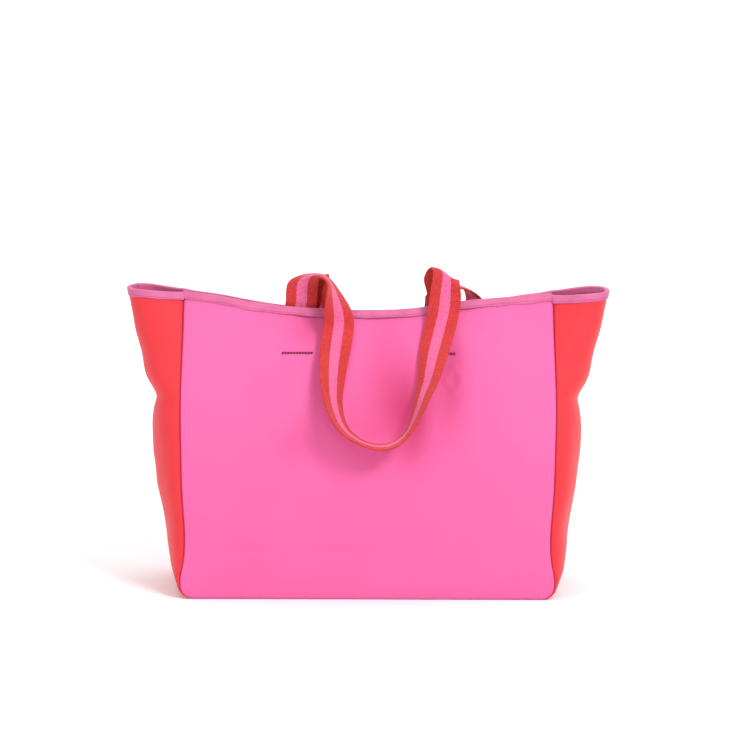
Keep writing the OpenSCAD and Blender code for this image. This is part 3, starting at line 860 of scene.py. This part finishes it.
def handle(side_name, left, right, drape, hinge, flip):
    """One handle: legs that stay with the bag, shoulders baked in place, and the loop that swings."""
    over_right = side_name == "front"
    if over_right:
        stations = left + drape + over_bend(FRONT_OVER)[::-1] + right[::-1]
    else:
        right = [[x, y, z, turn + 360] for x, y, z, turn in right]
        stations = left + over_bend(BACK_OVER) + drape + right[::-1]
    cx = FRONT_CROSS[1] if over_right else BACK_CROSS[1]
    strap = Strap(stations, flip, FRONT_OVER if over_right else BACK_OVER, (cx, BEND_Y, hinge))
    c = strap.c
    up = c[:, 2] > SHOULDER_Z
    l0 = int(np.argmax(up))
    l1 = int(np.argmax(~up[l0:])) + l0
    r1 = len(up) - 1 - int(np.argmax(up[::-1]))
    r0 = r1 - int(np.argmax(~up[:r1][::-1]))
    body = side_name + "_handle"
    pieces = {}
    for key, a, b in (("left_leg", 0, l0), ("left_shoulder", l0, l1), ("loop", l1, r0),
                      ("right_shoulder", r0, r1), ("right_leg", r1, len(c) - 1)):
        pieces[key] = strap.cut(f"{body}_{key}_web", a, b)
    cross = "left_shoulder" if over_right else "right_shoulder"
    over = "right_shoulder" if over_right else "left_shoulder"
    for key in ("left_leg", "right_leg"):
        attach(pieces[key][0], "bag")
        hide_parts(f"{body}_{key}")
    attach(pieces["loop"][0], body)
    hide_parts(f"{body}_loop")
    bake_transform(pieces[cross][0])
    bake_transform(pieces[over][0])
    return pieces


front_pieces = handle("front", leg_cross(-1, FRONT_CROSS, FRONT_HINGE_Z), leg_over(1, FRONT_OVER),
                      front_drape, FRONT_HINGE_Z, False)
back_pieces = handle("back", leg_over(-1, BACK_OVER),
                     leg_cross(1, BACK_CROSS, BACK_HINGE_Z, droop=0.0050, early=1.0),
                     back_drape, BACK_HINGE_Z, True)


# ---------------------------------------------------------------- sewn ends of the handles
def bar_stitches(name, back_side):
    """Thread across each sewn end, on the outside of the panel: a dense row in a soft groove."""
    pts, dirs, ups = [], [], []
    for s in (-1, 1):
        for row in (-0.0007, 0.0007):
            for k in np.arange(-0.0170, 0.01701, 0.0034):
                x = s * ANCHOR_X + k
                z = ANCHOR_Z - 0.0025 + row + 0.0002 * math.sin(k * 900)
                y = (float(front_y(x, z)) if back_side else skin_y(x, z)) - 0.0008
                pts.append([x, y, z])
                dirs.append([1.0, 0.0, 0.12 * (1 if row > 0 else -1)])
                ups.append([0.0, -1.0, 0.35])
    p, d, u = (np.array(q, float) for q in (pts, dirs, ups))
    if back_side:
        p[:, 1] *= -1
        d[:, 0] *= -1
        u[:, 1] *= -1
    d /= np.linalg.norm(d, axis=1, keepdims=True)
    return capsules(name, p, d, u, 0.0032, 0.00070, BAR_THREAD)


front_bars = bar_stitches("front_handle_stitching_thread", False)
back_bars = bar_stitches("back_handle_stitching_thread", True)

# ---------------------------------------------------------------- what rides on what
for piece, slot_name, nodes in (
        (front, "pink_neoprene", ["front_panel"]), (back, "pink_neoprene", ["back_panel"]),
        (left, "red_neoprene", ["left_gusset"]), (right, "red_neoprene", ["right_gusset"]),
        (base_piece, "red_neoprene", ["base_panel"]), (board_piece, "board", ["base_board"]),
        (lining_piece, "lining", ["base_lining"]), (base_tape_piece, "tape", ["base_seam_tape"]),
        (binding, "tape", ["rim_binding"]), (binding_join, "tape", []), (rim_out, "tape", []),
        (rim_in, "tape", []), (front_bars, "thread", ["front_handle_stitching"]),
        (back_bars, "thread", ["back_handle_stitching"])):
    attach(piece, "bag")
    if nodes:
        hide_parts(*nodes)
for piece in seam_threads_and_shade:
    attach(piece, "bag")
for node, piece in seam_tapes.items():
    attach(piece, "bag")
    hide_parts(node)

# ---------------------------------------------------------------- floor, light and camera
scene = bpy.context.scene


def plain(name, color, rough):
    """Matt paint for the studio."""
    m = Nodes(name)
    grain = m.noise(30, 2)
    return m.finish(m.mix(grain, color, tuple(c * 0.985 for c in color[:3]) + (1,)), rough,
                    m.bump(grain, 0.0002, 0.2), 0.0, (1, 1, 1, 1), 0.1)


def sweep_floor():
    """A pale floor that curves up into a backdrop."""
    y = np.concatenate([np.linspace(-4, 2.4, 12), 2.4 + 1.6 * np.sin(np.linspace(0, np.pi / 2, 14)[1:]),
                        np.full(3, 4.0)])
    z = np.concatenate([np.zeros(12), 1.6 * (1 - np.cos(np.linspace(0, np.pi / 2, 14)[1:])),
                        np.array([2.2, 3.2, 4.5])])
    x = np.linspace(-6, 6, 9)
    P = np.stack([np.broadcast_to(x, (len(y), 9)), np.broadcast_to(y[:, None], (len(y), 9)),
                  np.broadcast_to(z[:, None], (len(y), 9))], -1)
    return make_mesh("studio_floor", P.reshape(-1, 3), grid_faces(len(y), 9), P.reshape(-1, 3)[:, :2],
                     slots=[plain("studio_white", (0.93, 0.93, 0.935, 1), 0.9)])


floor = sweep_floor()
floor.location.z = -0.0004


def softbox(name, location, target, size, power, color=(1, 1, 1)):
    data = bpy.data.lights.new(name, "AREA")
    data.shape = "RECTANGLE"
    data.size, data.size_y = size
    data.energy = power
    data.color = color
    o = bpy.data.objects.new(name, data)
    o.location = location
    o.rotation_euler = (Vector(target) - Vector(location)).to_track_quat("-Z", "Y").to_euler()
    scene.collection.objects.link(o)
    return o


centre = (0, 0, 0.2)
softbox("key", (1.5, -2.0, 2.2), centre, (0.9, 0.8), 66)
softbox("fill", (-2.1, -1.7, 1.2), centre, (1.4, 1.4), 20)
softbox("top", (0.0, 0.3, 2.6), centre, (2.4, 1.8), 26)
softbox("wash", (0.0, 1.6, 2.6), (0, 4.0, 1.0), (3.5, 0.8), 60)
world = bpy.data.worlds.new("studio")
world.use_nodes = True
world.node_tree.nodes["Background"].inputs[0].default_value = (1, 1, 1, 1)
world.node_tree.nodes["Background"].inputs[1].default_value = 0.60
scene.world = world
scene.view_settings.view_transform = "Standard"
scene.view_settings.look = "None"

camera_data = bpy.data.cameras.new("camera")
camera_data.lens = 103.6
camera_data.sensor_width = 36
camera = bpy.data.objects.new("camera", camera_data)
scene.collection.objects.link(camera)
aim = Vector((0.0084, 0.0, 0.2570))
elevation, yaw, roll, distance = math.radians(8.4), math.radians(-0.95), math.radians(0.42), 2.6
forward = Vector((-math.sin(yaw) * math.cos(elevation), math.cos(yaw) * math.cos(elevation),
                  -math.sin(elevation)))
camera.location = aim - forward * distance
turn = forward.to_track_quat("-Z", "Y").to_matrix() @ Matrix.Rotation(roll, 3, "Z")
camera.rotation_euler = turn.to_euler()
scene.camera = camera
